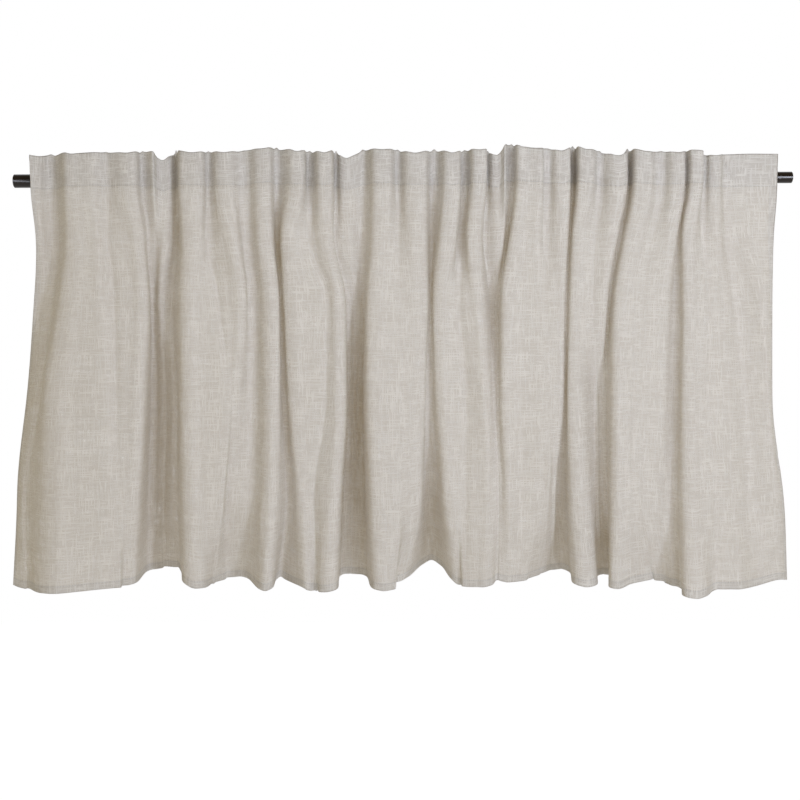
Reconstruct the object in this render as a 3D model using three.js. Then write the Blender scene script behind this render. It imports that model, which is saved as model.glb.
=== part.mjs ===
// A gathered window valance hanging on a telescopic curtain rod.
//
// Millimetres, +Z up. The origin is on the rod's axis, half way along the rod. +X runs along the rod,
// to the right of someone facing the cloth, and the cloth hangs in front of the rod, towards -Y.
//
// The cloth is one sheet. Each fold of it is a row in the table FOLDS: a ridge stands out to the front,
// a valley lies back. A row gives where that fold's crest or bottom runs at six heights, and how broad
// its turn is. At every height a smooth line through those turns is the cloth's cross-section.

import * as THREE from "three";

// --- Rod -------------------------------------------------------------------------------------------

const ROD_LENGTH = 1094;
const OUTER_TUBE_DIAMETER = 19;
const INNER_TUBE_DIAMETER = 16;
const TUBE_WALL = 1;
const OUTER_TUBE_END = 60; // where the wider tube stops and the narrower one comes out of it
const OVERLAP_LENGTH = 160; // how far the narrower tube's socket reaches into the wider one
const SOCKET_END_GAP = 5;
const TUBE_SIDES = 32;

// --- Cloth -----------------------------------------------------------------------------------------

const CLOTH_THICKNESS = 1.2;
const TAPE_THICKNESS = 1;
const SEWN_GAP = 0.3; // between two pieces that are sewn together
const TAPE_INSET = 1.5; // how far the tape's edges stay inside the heading

const TOP_HEIGHT = 31; // the cloth's upper edge above the rod's axis
const HEADING_FOOT = -15; // the seam under the heading
// The heights for which each fold is given: heading, waist, upper, middle, lower and hem.
const HEIGHTS = [HEADING_FOOT, -83, -173, -310, -446, -568.5];
const UPPER_LEVEL = 2; // the upper height's place in that list
// How much of a row's "top" and "hem" shift is felt at each of those heights.
const TOP_SHARE = [0.6, 0.1, 0, 0, 0, 0];
const HEM_SHARE = [0, 0, 0, 0.2, 0.55, 1];
const SHOULDER_SHIFT = 0.35; // how much of its neighbour's shift a fold's shoulder takes
const SHOULDER_RISE = [0.25, 0.35, 0.45, 0.5, 0.5, 0.5]; // a turn's depth, as a share of its half width
const SHOULDER_LIMIT = 0.45; // the most of the way to the next fold that a turn takes up
const SHALLOW = 10; // a turn may lean over its neighbour only where it lies deeper than this
const LEAST_TURN = 1.5; // the half width that is left of a turn where its fold dies away
const BROAD_TURN = 5; // a wider turn than this has a bend between its middle and its shoulders

// --- Loops behind the heading ----------------------------------------------------------------------

const LOOP_WIDTH = 12;
const LOOP_THICKNESS = 1.2;
const LOOP_GAP = 0.6; // between a loop's ends and the tape
const LOOP_SLACK = 0.8; // a loop's corners stand off the rod by this
const LOOP_STEPS = 6;
const LOOP_ARC = 270; // degrees of the rod that a loop goes round
// Heights above the rod's axis: a loop's two ends lie flat on the tape from TOP down to TOP_KNEE and
// from FOOT_KNEE down to FOOT.
const LOOP_TOP = 16;
const LOOP_TOP_KNEE = 10.5;
const LOOP_FOOT_KNEE = -9;
const LOOP_FOOT = -13;

// --- Colours ---------------------------------------------------------------------------------------

const CLOTH_COLOUR = 0xe6e0d5;
const TAPE_COLOUR = 0xece7dd;
const ROD_COLOUR = 0x2b211b;

// One row of the fold table.
//   x     where the fold runs, at the heading, waist, upper, middle, lower and hem heights
//   y     how far behind (+) or in front of (-) the rod's axis it lies, at the same heights
//   half  half the width of its turn, at the heading, at the upper height and at the hem (0: no turn)
//   top   how much higher the cloth's upper edge is there
//   hem   how much higher the cloth's hem is there
//   loop  true where a loop ties the fold to the rod
const fold = (x, y, half, top, hem, loop = false) => ({ x, y, half, top, hem, loop });
const LOOP = true;

const FOLDS = [
  // left side edge and the first, broad fold
  fold([-514, -509, -525, -545, -558, -552], [-33, -26, 12, 38, 35, 0], [0, 0, 0], -1, 0),
  fold([-504, -501, -516, -535, -549, -543], [-28, -26, 12, 22, 18, -6], [0, 0, 0], -2, -2),
  fold([-490, -488, -500, -518, -536, -530], [-14, -8, 4, 4, 2, -14], [5, 5, 4], 3, -3, LOOP),
  fold([-452, -446, -452, -470, -470, -472], [-53, -54, -55, -60, -64, -66], [9, 18, 26], -3, 0),
  fold([-421, -416, -410, -403, -404, -412], [-52, -54, -56, -61, -60, -50], [0, 0, 0], -1, 3),
  fold([-407, -404, -396, -392, -390, -396], [-38, -44, -46, -54, -56, -42], [4, 9, 6], 1, 3),
  fold([-376, -366, -360, -364, -372, -384], [-53, -54, -54, -58, -52, -22], [11, 11, 8], -2, 3),
  fold([-359, -351, -353, -361, -367, -372], [-28, -26, 8, 45, 56, 72], [3, 4, 6], 4, 8, LOOP),
  // the turned corner of the heading, above the deep valley
  fold([-341, -342, -348, -352, -357, -362], [-46, -28, 0, 33, 45, 66], [0, 0, 0], 0, 10),
  fold([-331, -330, -341, -342, -347, -351], [-30, -34, -8, 22, 34, 56], [8, 4, 0], -9, 15),
  fold([-316, -316, -329, -323, -325, -328], [-14, -10, 0, 2, 8, 44], [2, 3, 4], 8, 16, LOOP),
  // from the second ridge to the first long slit
  fold([-289, -287, -292, -291, -290, -292], [-53, -54, -54, -54, -50, -32], [16, 13, 14], -2, 0),
  fold([-268, -268, -253, -240, -250, -271], [-30, -36, -42, -48, -42, 10], [3, 6, 0], 3, -2),
  fold([-244, -236, -225, -234, -244, -256], [-53, -54, -50, -45, -26, 30], [11, 10, 0], -2, 3),
  fold([-219, -216, -209, -211, -216, -236], [-34, -30, -30, -26, -24, 34], [6, 6, 9], 3, 4, LOOP),
  fold([-191, -190, -181, -180, -183, -190], [-53, -54, -53, -56, -57, -54], [9, 10, 8], 3, 0),
  fold([-174, -175, -168, -166, -160, -176], [-28, -16, -28, -24, -20, 10], [3, 3, 5], 8, 8, LOOP),
  // the wide fold beside it, and the deep valley left of the middle
  fold([-145, -155, -150, -146, -139, -133], [-53, -54, -52, -54, -50, -50], [9, 14, 6], -1, 0),
  fold([-129, -129, -105, -107, -125, -122], [-24, -42, -48, -52, -46, -40], [3, 6, 0], 4, -3, LOOP),
  fold([-107, -107, -91, -91, -100, -105], [-53, -54, -56, -61, -63, -63], [9, 11, 11], -3, 0),
  fold([-93, -94, -77, -79, -83, -88], [-14, -30, -20, 30, 36, 39], [2, 3, 5], 6, 6, LOOP),
  fold([-78, -78, -68, -72, -75, -78], [-29, -36, -12, 36, 44, 42], [10, 4, 0], -7, 6),
  fold([-56, -58, -59, -65, -63, -61], [-26, -22, -8, 26, 30, 38], [4, 4, 5], 5, 5, LOOP),
  // the broad fold at the middle
  fold([-29, -30, -37, -38, -34, -30], [-53, -54, -55, -58, -60, -58], [11, 13, 13], 1, 0),
  fold([-7, -7, -5, -3, -5, -14], [-30, -42, -50, -54, -55, -46], [3, 0, 0], 4, 0, LOOP),
  fold([17, 16, 18, 16, 11, -6], [-53, -54, -50, -50, -46, -12], [13, 14, 10], -4, 5),
  fold([43, 40, 38, 34, 37, 40], [-26, -14, -30, -28, 10, 84], [4, 2, 12], 5, 18, LOOP),
  fold([67, 62, 51, 55, 63, 73], [-53, -54, -50, -50, -46, -12], [10, 13, 8], -4, 0),
  fold([85, 79, 76, 85, 83, 86], [-24, -24, -42, -40, -42, -26], [4, 8, 9], 4, -1),
  fold([104, 96, 99, 109, 113, 109], [-53, -54, -50, -52, -50, -34], [9, 10, 14], 0, 0),
  fold([118, 112, 122, 124, 127, 127], [-18, -30, -16, -38, -42, -16], [2, 2, 2], 4, 6, LOOP),
  fold([129, 130, 127, 126, 129, 129], [-34, -44, -14, -36, -41, -14], [8, 0, 0], -5, 6),
  fold([139, 138, 129, 127, 130, 130], [-46, -42, -16, -37, -41, -15], [0, 0, 0], 7, 6),
  fold([150, 144, 131, 128, 131, 131], [-24, -24, -20, -38, -42, -16], [3, 2, 2], 12, 6, LOOP),
  // the broad fold right of the middle
  fold([163, 155, 142, 139, 142, 143], [-52, -54, -54, -54, -50, -16], [7, 9, 9], 4, 3),
  fold([173, 167, 160, 160, 161, 159], [-50, -52, -50, -50, -44, -14], [0, 0, 0], 3, 4),
  fold([183, 179, 180, 185, 183, 170], [-52, -54, -51, -52, -44, -10], [8, 9, 0], 2, 5),
  fold([198, 195, 196, 199, 196, 194], [-38, -42, -50, -51, -44, 20], [5, 4, 0], 3, 9),
  fold([217, 216, 214, 213, 206, 212], [-53, -54, -52, -50, -32, 46], [10, 7, 0], -2, 9),
  fold([236, 228, 223, 220, 218, 229], [-14, -30, -38, -34, -6, 54], [3, 2, 9], 11, 9, LOOP),
  fold([249, 240, 234, 233, 239, 249], [-53, -54, -53, -55, -52, -38], [9, 8, 15], 0, 0),
  // the fold that ends a third of the way down, and the deep valley under it
  fold([271, 263, 258, 268, 270, 281], [-32, -44, -48, -18, -12, 34], [3, 4, 4], 0, 4),
  fold([294, 283, 271, 273, 275, 287], [-53, -54, -52, -14, -8, 38], [12, 7, 0], -9, 4),
  fold([312, 299, 284, 279, 280, 293], [-14, -30, -28, -18, -12, 38], [3, 2, 3], 7, 3, LOOP),
  fold([329, 314, 297, 292, 291, 290], [-53, -54, -55, -57, -57, -52], [12, 9, 10], -3, 0),
  fold([338, 325, 313, 307, 306, 308], [-53, -54, -51, -54, -54, -40], [0, 0, 0], -4, 4),
  fold([354, 341, 326, 321, 321, 348], [-36, -44, -50, -53, -52, -8], [5, 6, 0], -1, 6),
  fold([375, 364, 351, 349, 350, 364], [-53, -54, -52, -52, -44, -10], [9, 11, 0], -5, 0),
  fold([388, 378, 377, 373, 370, 375], [-30, -34, -28, -30, -34, -30], [2, 4, 5], 0, -1),
  fold([401, 389, 391, 389, 389, 388], [-53, -54, -52, -60, -68, -86], [8, 9, 15], -2, -7),
  // the right end, nearly flat against the rod
  fold([416, 413, 417, 414, 425, 425], [-24, -36, -44, -50, -52, -52], [3, 6, 8], -4, -1, LOOP),
  fold([430, 427, 436, 441, 446, 452], [-36, -42, -46, -52, -56, -58], [7, 8, 10], -7, 0),
  fold([446, 447, 459, 469, 478, 488], [-20, -26, -32, -36, -38, -30], [0, 0, 0], -3, 0, LOOP),
  fold([480, 482, 494, 498, 508, 518], [-20, -30, -42, -44, -44, -22], [0, 0, 0], -2, 6, LOOP),
  fold([521, 513, 508, 506, 522, 534], [-18, -26, -34, -38, -34, -12], [0, 0, 0], -2, 4),
];

// --- The cloth's cross-sections --------------------------------------------------------------------

// The half width of a fold's turn at a row of HEIGHTS, between the three that the table gives.
function halfWidth(row, level) {
  const [heading, upper, hem] = row.half;
  const below = Math.max(level - UPPER_LEVEL, 0) / (HEIGHTS.length - 1 - UPPER_LEVEL);
  const above = Math.max(UPPER_LEVEL - level, 0) / UPPER_LEVEL;
  return Math.max(upper + (heading - upper) * above + (hem - upper) * below, LEAST_TURN);
}

// Where a fold's turn ends on the side of its neighbour.
function shoulder(place, neighbour, half, side, riseShare) {
  const along = Math.abs(neighbour.x - place.x);
  const across = neighbour.y - place.y;
  const lean = Math.max(Math.abs(across) - SHALLOW, 0);
  const reach = Math.min(half, SHOULDER_LIMIT * (along + lean));
  const rise = Math.min(riseShare * reach, SHOULDER_LIMIT * Math.abs(across));
  return new THREE.Vector2(place.x + side * reach, place.y + Math.sign(across) * rise);
}

// The turns of one height's cross-section, in order from left to right: a fold's place, with a
// shoulder on each side of it where the fold has a turn. Each is marked with its fold's number.
function turns(level, rise) {
  const places = FOLDS.map((row) => new THREE.Vector2(row.x[level], row.y[level]));
  const points = [];
  FOLDS.forEach((row, i) => {
    const turned = row.half.some((width) => width > 0);
    for (const side of turned ? [-1, 0, 1] : [0]) {
      const next = i + side;
      const half = halfWidth(row, level);
      const at = side ? shoulder(places[i], places[next], half, side, SHOULDER_RISE[level]) : places[i];
      const shift = THREE.MathUtils.lerp(rise(row), rise(FOLDS[next]), SHOULDER_SHIFT);
      points.push({ fold: i, point: new THREE.Vector3(at.x, at.y, HEIGHTS[level] + shift) });
    }
  });
  return points;
}

// One height's cross-section: every turn and, in a broad turn, a point half way from its middle to
// each of its shoulders.
function crossSection(level, rise) {
  const all = turns(level, rise);
  const last = all.length - 1;
  const curve = new THREE.CatmullRomCurve3(all.map(({ point }) => point), false, "centripetal");
  const section = [];
  all.forEach(({ fold: number, point }, i) => {
    section.push(point);
    const inTurn = i < last && all[i + 1].fold === number;
    const broad = Math.max(...FOLDS[number].half) > BROAD_TURN;
    if (inTurn && broad) section.push(curve.getPoint((i + 0.5) / last));
  });
  return section;
}

const sections = [
  crossSection(0, (row) => TOP_HEIGHT - HEADING_FOOT + row.top),
  ...HEIGHTS.map((_, i) => crossSection(i, (row) => TOP_SHARE[i] * row.top + HEM_SHARE[i] * row.hem)),
];

// --- Sheets ----------------------------------------------------------------------------------------

// The way from the front of the cloth to its back at each point of a cross-section, long enough that
// a step along it moves both of the neighbouring stretches by one unit.
function backward(section) {
  return section.map((point, i) => {
    const before = section[Math.max(i - 1, 0)];
    const after = section[Math.min(i + 1, section.length - 1)];
    const normals = [];
    for (const [from, to] of [[before, point], [point, after]]) {
      const along = to.clone().sub(from).setZ(0);
      if (along.length() > 0) normals.push(new THREE.Vector3(-along.y, along.x, 0).normalize());
    }
    const middle = normals[0].clone().add(normals[normals.length - 1]).normalize();
    return middle.divideScalar(middle.dot(normals[0]));
  });
}

// A closed sheet between two distances behind the cloth's middle surface.
function sheetGeometry(rows, front, back) {
  const positions = [];
  for (const distance of [front, back]) {
    for (const row of rows) {
      const ways = backward(row);
      row.forEach((point, i) => {
        positions.push(...point.clone().addScaledVector(ways[i], distance).toArray());
      });
    }
  }
  const columns = rows[0].length;
  const layer = rows.length * columns;
  const faces = [];
  const quad = (a, b, c, d) => faces.push(a, b, c, a, c, d);
  for (let r = 0; r + 1 < rows.length; r += 1) {
    for (let c = 0; c + 1 < columns; c += 1) {
      const a = r * columns + c;
      const below = a + columns;
      quad(a, below, below + 1, a + 1);
      quad(a + layer, a + 1 + layer, below + 1 + layer, below + layer);
    }
    const left = r * columns;
    const right = left + columns - 1;
    quad(left, left + layer, left + columns + layer, left + columns);
    quad(right, right + columns, right + columns + layer, right + layer);
  }
  const foot = layer - columns;
  for (let c = 0; c + 1 < columns; c += 1) {
    quad(c, c + 1, c + 1 + layer, c + layer);
    quad(foot + c, foot + c + layer, foot + c + 1 + layer, foot + c + 1);
  }
  const geometry = new THREE.BufferGeometry();
  geometry.setAttribute("position", new THREE.Float32BufferAttribute(positions, 3));
  geometry.setIndex(faces);
  geometry.computeVertexNormals();
  return geometry;
}

function panelGeometry() {
  return sheetGeometry(sections, -CLOTH_THICKNESS / 2, CLOTH_THICKNESS / 2);
}

// The tape behind the heading follows the cloth between its upper edge and the seam.
function tapeGeometry() {
  const [upperEdge, seam] = sections;
  const share = TAPE_INSET / (TOP_HEIGHT - HEADING_FOOT);
  const between = (t) => upperEdge.map((point, i) => point.clone().lerp(seam[i], t));
  const front = CLOTH_THICKNESS / 2 + SEWN_GAP;
  return sheetGeometry([between(share), between(1 - share)], front, front + TAPE_THICKNESS);
}

// --- Loops -----------------------------------------------------------------------------------------

// A strip's outline: along one side of a route and back along the other.
function stripOutline(route, thickness) {
  const sides = [-1, 1].map((side) =>
    route.map((point, i) => {
      const before = route[Math.max(i - 1, 0)];
      const after = route[Math.min(i + 1, route.length - 1)];
      const along = after.clone().sub(before).normalize();
      const away = new THREE.Vector2(-along.y, along.x);
      return point.clone().addScaledVector(away, (side * thickness) / 2);
    }),
  );
  return new THREE.Shape([...sides[0], ...sides[1].reverse()]);
}

// A loop in the plane across the rod: the first number of a point is its height, the second how far
// behind the rod's axis it is. It comes down from the tape, goes round behind the rod and back.
function loopGeometry(tapeBack, rodDiameter) {
  const flat = tapeBack + LOOP_GAP + LOOP_THICKNESS / 2;
  const radius = rodDiameter / 2 + LOOP_SLACK + LOOP_THICKNESS / 2;
  const route = [new THREE.Vector2(LOOP_TOP, flat), new THREE.Vector2(LOOP_TOP_KNEE, flat)];
  for (let i = 0; i <= LOOP_STEPS; i += 1) {
    const angle = THREE.MathUtils.degToRad(LOOP_ARC * (i / LOOP_STEPS - 0.5));
    route.push(new THREE.Vector2(-Math.sin(angle), Math.cos(angle)).multiplyScalar(radius));
  }
  route.push(new THREE.Vector2(LOOP_FOOT_KNEE, flat), new THREE.Vector2(LOOP_FOOT, flat));
  return new THREE.ExtrudeGeometry(stripOutline(route, LOOP_THICKNESS), {
    depth: LOOP_WIDTH,
    bevelEnabled: false,
  });
}

// --- Rod -------------------------------------------------------------------------------------------

// Both tubes are turned about their own axis, from the closed end at zero to the open or inner end.
function outerTubeGeometry() {
  const length = OUTER_TUBE_END + ROD_LENGTH / 2;
  const radius = OUTER_TUBE_DIAMETER / 2;
  const profile = [
    new THREE.Vector2(0, 0),
    new THREE.Vector2(radius, 0),
    new THREE.Vector2(radius, length),
    new THREE.Vector2(radius - TUBE_WALL, length),
    new THREE.Vector2(radius - TUBE_WALL, length - OVERLAP_LENGTH),
    new THREE.Vector2(0, length - OVERLAP_LENGTH),
  ];
  return new THREE.LatheGeometry(profile, TUBE_SIDES);
}

function innerTubeGeometry() {
  const start = OUTER_TUBE_END - OVERLAP_LENGTH + SOCKET_END_GAP;
  const radius = INNER_TUBE_DIAMETER / 2;
  const profile = [
    new THREE.Vector2(0, start),
    new THREE.Vector2(radius, start),
    new THREE.Vector2(radius, ROD_LENGTH / 2),
    new THREE.Vector2(0, ROD_LENGTH / 2),
  ];
  return new THREE.LatheGeometry(profile, TUBE_SIDES);
}

// --- The whole valance -----------------------------------------------------------------------------

const valance = new THREE.Group();

const clothMaterial = (color) =>
  new THREE.MeshStandardMaterial({ color, roughness: 0.9, metalness: 0 });
const rodMaterial = () =>
  new THREE.MeshStandardMaterial({ color: ROD_COLOUR, roughness: 0.3, metalness: 0.8 });

function addPiece(name, geometry, material) {
  const piece = new THREE.Mesh(geometry, material);
  piece.name = name;
  valance.add(piece);
  return piece;
}

addPiece("valance_panel", panelGeometry(), clothMaterial(CLOTH_COLOUR));
addPiece("heading_tape", tapeGeometry(), clothMaterial(TAPE_COLOUR));

FOLDS.filter((row) => row.loop).forEach((row, i) => {
  const [x] = row.x;
  const [y] = row.y;
  const tapeBack = y + CLOTH_THICKNESS / 2 + SEWN_GAP + TAPE_THICKNESS;
  const diameter = x < OUTER_TUBE_END ? OUTER_TUBE_DIAMETER : INNER_TUBE_DIAMETER;
  const name = "loop_" + String(i + 1).padStart(2, "0");
  const loop = addPiece(name, loopGeometry(tapeBack, diameter), clothMaterial(TAPE_COLOUR));
  // The loop's own plane (height, depth, width) becomes (Z, Y, X).
  loop.rotation.set(0, -Math.PI / 2, 0);
  loop.position.set(x + LOOP_WIDTH / 2, 0, 0);
});

const outerTube = addPiece("rod_outer_tube", outerTubeGeometry(), rodMaterial());
outerTube.rotation.z = -Math.PI / 2;
outerTube.position.x = -ROD_LENGTH / 2;

const innerTube = addPiece("rod_inner_tube", innerTubeGeometry(), rodMaterial());
innerTube.rotation.z = -Math.PI / 2;

export default valance;
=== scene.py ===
"""The looks of a gathered window valance on a telescopic rod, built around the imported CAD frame.

The cloth is one sheet of slubbed, semi-sheer linen. Its folds are the rows of the table FOLDS, which
the CAD model has too: where each ridge or valley runs at six heights. Here they become a fine mesh
whose columns are threads of the cloth, with its hems folded behind it, stitches, tape, loops and rod.
"""

import math
from collections import namedtuple

import bpy
import numpy as np
from mathutils import Matrix, Vector


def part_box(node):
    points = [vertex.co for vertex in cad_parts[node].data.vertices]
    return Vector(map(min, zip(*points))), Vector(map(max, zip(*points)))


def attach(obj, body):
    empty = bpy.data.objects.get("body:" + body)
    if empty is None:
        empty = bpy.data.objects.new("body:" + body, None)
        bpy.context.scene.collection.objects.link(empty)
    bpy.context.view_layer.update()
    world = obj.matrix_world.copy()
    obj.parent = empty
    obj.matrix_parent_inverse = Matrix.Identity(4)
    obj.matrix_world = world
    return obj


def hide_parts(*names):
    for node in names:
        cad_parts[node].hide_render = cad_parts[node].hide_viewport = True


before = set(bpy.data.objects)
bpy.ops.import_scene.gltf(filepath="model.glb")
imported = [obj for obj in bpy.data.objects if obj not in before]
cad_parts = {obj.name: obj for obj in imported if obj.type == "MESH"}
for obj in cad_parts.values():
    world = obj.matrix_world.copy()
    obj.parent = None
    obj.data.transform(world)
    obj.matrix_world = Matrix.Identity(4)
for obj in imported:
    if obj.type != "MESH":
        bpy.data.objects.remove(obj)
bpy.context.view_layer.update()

MM = 0.001
BODY = "root"

# --- Cloth, in millimetres -----------------------------------------------------------------------

TOP_HEIGHT = 31
HEIGHTS = (-15, -83, -173, -310, -446, -568.5)  # heading foot, waist, upper, middle, lower, hem
UPPER_LEVEL = 2
TOP_SHARE = (0.6, 0.1, 0, 0, 0, 0)  # how much of a row's "top" shift is felt at each height
HEM_SHARE = (0, 0, 0, 0.2, 0.55, 1)  # and how much of its "hem" shift
SHOULDER_SHIFT = 0.35  # how much of the next fold's shift a turn's shoulder takes
SHOULDER_RISE = (0.25, 0.35, 0.45, 0.5, 0.5, 0.5)  # a turn's depth, as a share of its half width
SHOULDER_LIMIT = 0.45  # the most of the way to the next fold that a turn takes
SHALLOW = 10  # a step in depth widens a turn only by what goes beyond this
RECESSED = -50  # a fold further back than this depth is a recess
EDGE_FORWARD = 4  # how far the recesses stand forward at the upper edge
LEAST_TURN = 1.5

COLUMN_STEP = 3.1  # between two threads that the mesh follows
COLUMN_CROWDING = 0.55  # how much closer they are at the folds' turns
LEAST_COLUMNS = 4  # between two folds
ROW_STEP = 5.4
FINE_STEP = 3
CURVE_STEPS = 14  # samples between two turns of a cross-section
EASE_DOWN = 14  # how far along a thread a bend is spread

LAYER = 0.7  # between two layers of folded cloth
HEM_DEPTH = 10.5
SIDE_HEM_DEPTH = 6.5
TURNING_DEPTH = 8  # how far the upper edge is turned down behind the heading
SEAM_HEIGHT = -14.2  # the stitch line that holds the tape under the heading

TAPE_BEHIND = 1.5
TAPE_INSET = 1.5
TAPE_TOP = 29.5
TAPE_FOOT = -15.6

STITCH_LENGTH = 2.3
STITCH_PITCH = 3.1
STITCH_RADIUS = 0.16
STITCH_SIDES = 5
STITCH_FLATNESS = 1.3
# A stitch's rings: place along it, thickness, and how deep it sinks into the cloth.
STITCH_PROFILE = ((0, 0.4, 0.12), (0.2, 1, -0.1), (0.8, 1, -0.1), (1, 0.4, 0.12))
HEM_STITCH_INSET = 1.2  # from a hem's stitches to its turned edge
SIDE_SEAM_STEP = 4  # between two points of the line that the side hems' stitches follow

# --- Loops and rod, in millimetres -----------------------------------------------------------------

LOOP_WIDTH = 12
LOOP_THICKNESS = 1.1
LOOP_CORNER = 0.4  # how far in from its edges the band is at its full thickness
LOOP_EDGE = 0.4  # and the share of that thickness that it has at its edges
LOOP_SLACK = 0.8
LOOP_ARC = 270
LOOP_RING_STEPS = 25
LOOP_CURVE_STEPS = 3
LOOP_TOP = 16
LOOP_TOP_KNEE = 10.5
LOOP_FOOT_KNEE = -9
LOOP_FOOT = -13
LOOP_GAP = 0.5

OUTER_TUBE_END = 60
TUBE_WALL = 1
TUBE_SIDES = 96
TUBE_EDGE = 0.35
TUBE_SHARP = math.radians(40)  # an edge that turns by more than this isn't smoothed
SOCKET_DEPTH = 158

Fold = namedtuple("Fold", "x y half top hem loop")


def fold(x, y, half, top, hem, loop=False):
    """A ridge or valley: its x and depth y at HEIGHTS, its turn's half widths, its edges' shifts."""
    return Fold(x, y, half, top, hem, loop)


LOOP = True  # for a recess that a loop ties to the rod

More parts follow.
